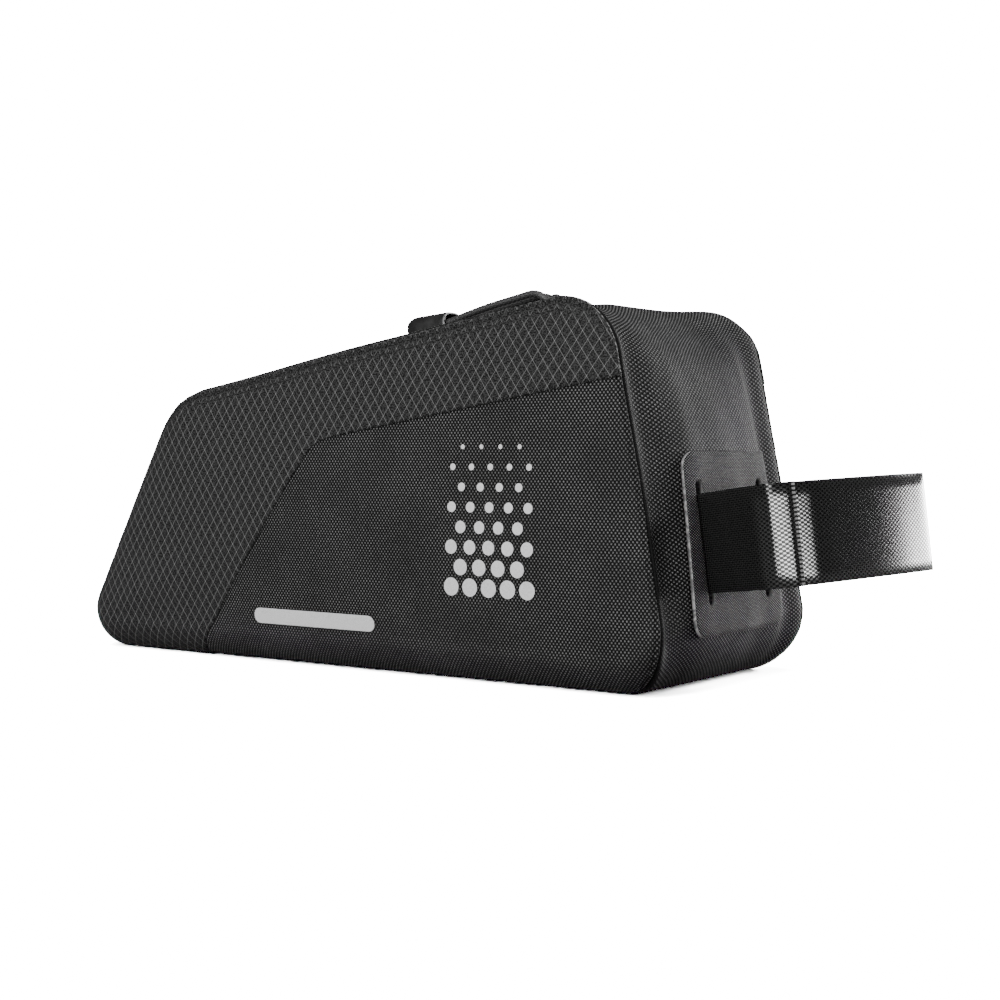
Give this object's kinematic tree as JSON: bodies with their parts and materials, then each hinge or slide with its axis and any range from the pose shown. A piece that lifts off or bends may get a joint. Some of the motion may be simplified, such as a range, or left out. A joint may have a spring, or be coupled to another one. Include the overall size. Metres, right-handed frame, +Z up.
{
  "type": "bicycle top tube bag",
  "caption": "Wedge-shaped soft top tube bag with zip along the top, corded zip pull, and a hook-and-loop strap through a slotted patch on the tall end.",
  "frame": {"origin": "the middle of the flat base", "axes": "+Z up, +X to the tall end that the strap holds to the stem, -Y the rider's right"},
  "size_m": [0.241, 0.0776, 0.1018],
  "materials": {
    "woven_nylon": "matte plain weave",
    "ripstop_nylon": "matte diamond ripstop",
    "twill_nylon": "matte fine twill",
    "strap_webbing": "satin woven webbing",
    "zip_tape": "matte tape",
    "zip_coil": "satin nylon coil",
    "painted_slider": "satin black paint",
    "braided_cord": "braided cord",
    "moulded_cap": "glossy moulded plastic"
  },
  "bodies": {
    "root": {"side_panel_right": "woven_nylon", "side_panel_left": "woven_nylon", "side_yoke_right": "ripstop_nylon", "side_yoke_left": "ripstop_nylon", "gusset": "woven_nylon", "strap_patch": "twill_nylon", "strap": "strap_webbing", "zip_tape_right": "zip_tape", "zip_tape_left": "zip_tape", "zip_coil": "zip_coil", "zip_slider": "painted_slider", "pull_cord": "braided_cord", "pull_cap": "moulded_cap"}
  },
  "joints": []
}
